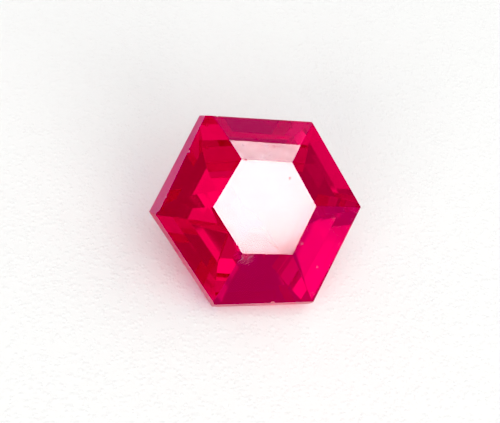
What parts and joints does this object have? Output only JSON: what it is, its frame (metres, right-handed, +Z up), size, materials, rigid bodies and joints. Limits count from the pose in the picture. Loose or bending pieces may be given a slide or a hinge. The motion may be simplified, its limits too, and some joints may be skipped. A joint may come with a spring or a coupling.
{
  "type": "cut garnet",
  "caption": "Loose clear raspberry-red garnet, step cut with a hexagonal outline, a flat table and a pointed back, lying on a lower facet.",
  "frame": {"origin": "bottom centre of the stone's box as it lies, on the surface that it rests on", "axes": "+Z up; the table faces up and towards -Y; +X to the right seen from the table side"},
  "size_m": [0.0106, 0.008, 0.0063],
  "materials": {
    "garnet": "clear polished raspberry-red crystal, index of refraction 1.76, with a finely ground girdle"
  },
  "bodies": {
    "root": {"garnet": "garnet"}
  },
  "joints": []
}
